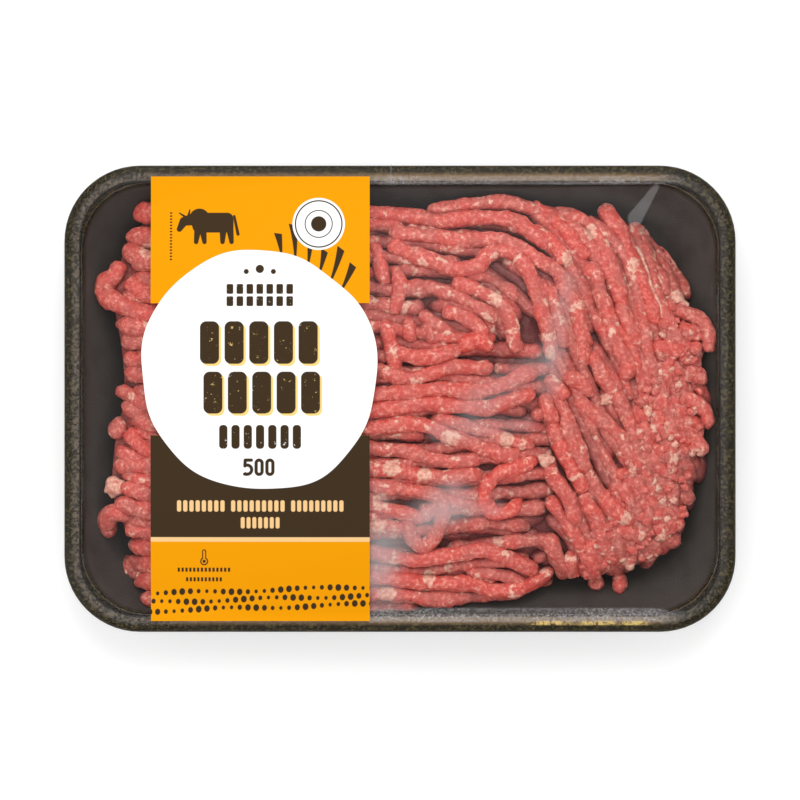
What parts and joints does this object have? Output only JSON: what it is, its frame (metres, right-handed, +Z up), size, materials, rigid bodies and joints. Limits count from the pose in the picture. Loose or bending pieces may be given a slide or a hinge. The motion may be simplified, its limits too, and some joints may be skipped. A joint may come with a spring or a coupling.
{
  "type": "meat tray pack",
  "caption": "Rounded foam tray heaped with minced meat strands, wrapped in taut clear film, with a printed label across the film near the left end.",
  "frame": {"origin": "middle of the pack's underside, on the surface it rests on", "axes": "+X along the tray's long side, away from the label; +Y along the short side, towards the label's top; +Z up"},
  "size_m": [0.21, 0.1464, 0.0389],
  "materials": {
    "tray": "dark expanded foam, fine-grained",
    "minced_meat": "raw meat, moist, with pale fat",
    "film": "clear stretch film",
    "label": "coated paper, printed in yellow, dark brown, white and cream"
  },
  "bodies": {
    "root": {"tray": "tray", "minced_meat": "minced_meat", "film": "film", "label": "label"}
  },
  "joints": []
}
